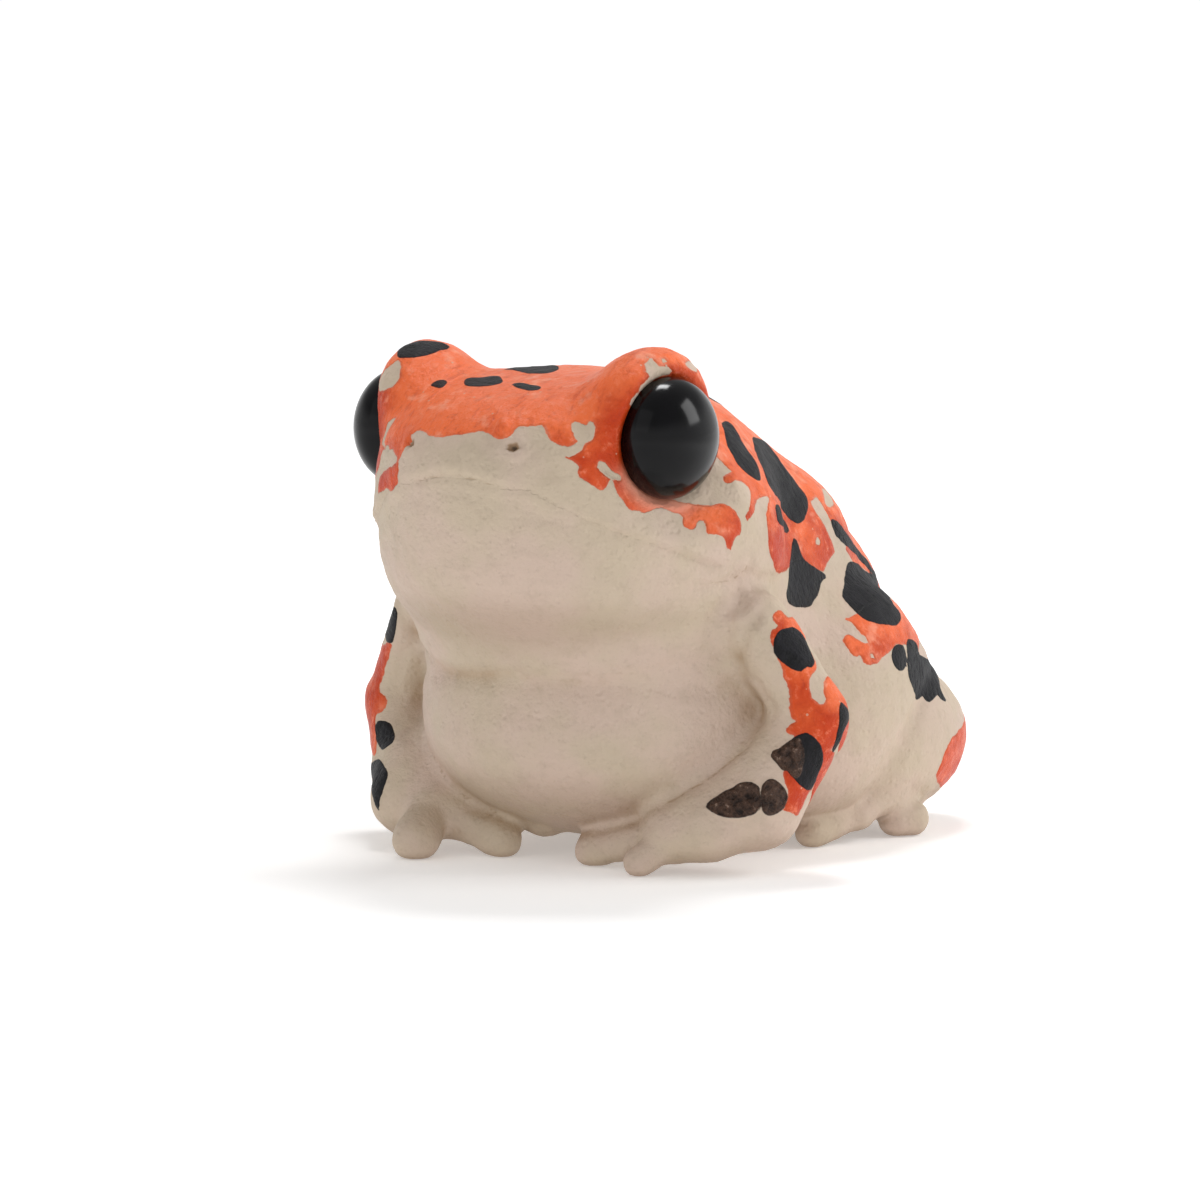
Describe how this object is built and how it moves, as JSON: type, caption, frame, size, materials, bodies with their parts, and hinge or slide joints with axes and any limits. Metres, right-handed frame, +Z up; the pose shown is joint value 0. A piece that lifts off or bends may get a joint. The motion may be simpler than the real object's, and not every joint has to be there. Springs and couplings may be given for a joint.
{
  "type": "painted frog figurine",
  "caption": "Small moulded plastic figure of a sitting poison dart frog, cream with thick orange paint and black spots, and glossy black bead eyes.",
  "frame": {"origin": "Centre of the figure's box, on the level it stands on.", "axes": "+Z up, the snout faces -Y, +X to the frog's own left."},
  "size_m": [0.0364, 0.0448, 0.0337],
  "materials": {
    "body_plastic": "Moulded plastic, matte cream with brushed satin orange paint and black spots.",
    "eye_gloss": "Black, high gloss."
  },
  "bodies": {
    "root": {"head": "body_plastic", "torso": "body_plastic", "eye_left": "eye_gloss", "eye_right": "eye_gloss", "upper_arm_left": "body_plastic", "upper_arm_right": "body_plastic", "forearm_left": "body_plastic", "forearm_right": "body_plastic", "hand_left": "body_plastic", "hand_right": "body_plastic", "thigh_left": "body_plastic", "thigh_right": "body_plastic", "shank_left": "body_plastic", "shank_right": "body_plastic", "foot_left": "body_plastic", "foot_right": "body_plastic"}
  },
  "joints": []
}
